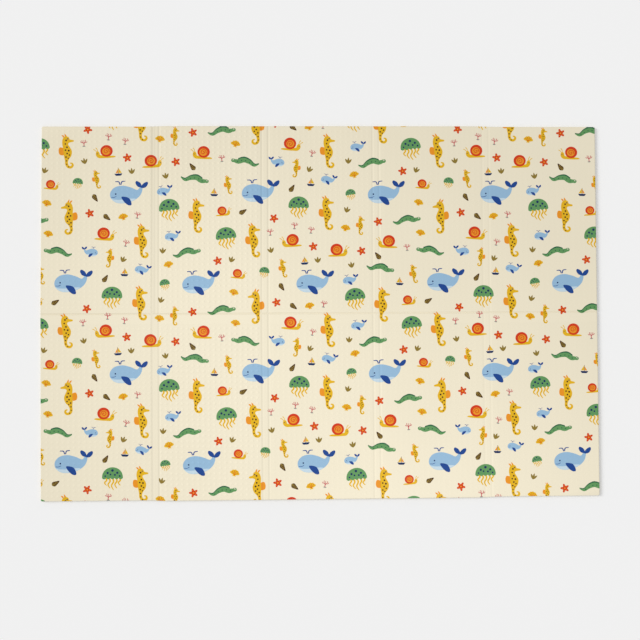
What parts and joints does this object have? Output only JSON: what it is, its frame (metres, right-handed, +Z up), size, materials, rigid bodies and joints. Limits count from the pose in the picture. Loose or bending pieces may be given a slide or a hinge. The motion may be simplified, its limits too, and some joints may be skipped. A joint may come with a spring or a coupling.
{
  "type": "folding play mat",
  "caption": "Flat rectangular foam play mat in a smooth printed film, creased into panels so that it folds up like a screen.",
  "frame": {"origin": "centre of the underside, on the floor", "axes": "+X along the mat's length, +Y across it towards its far edge in the picture, +Z up through the printed face"},
  "size_m": [1.8026, 1.2075, 0.0104],
  "materials": {
    "cream_film": "smooth printed film on closed-cell foam, finely embossed"
  },
  "bodies": {
    "root": {"play_mat": "cream_film"}
  },
  "joints": []
}
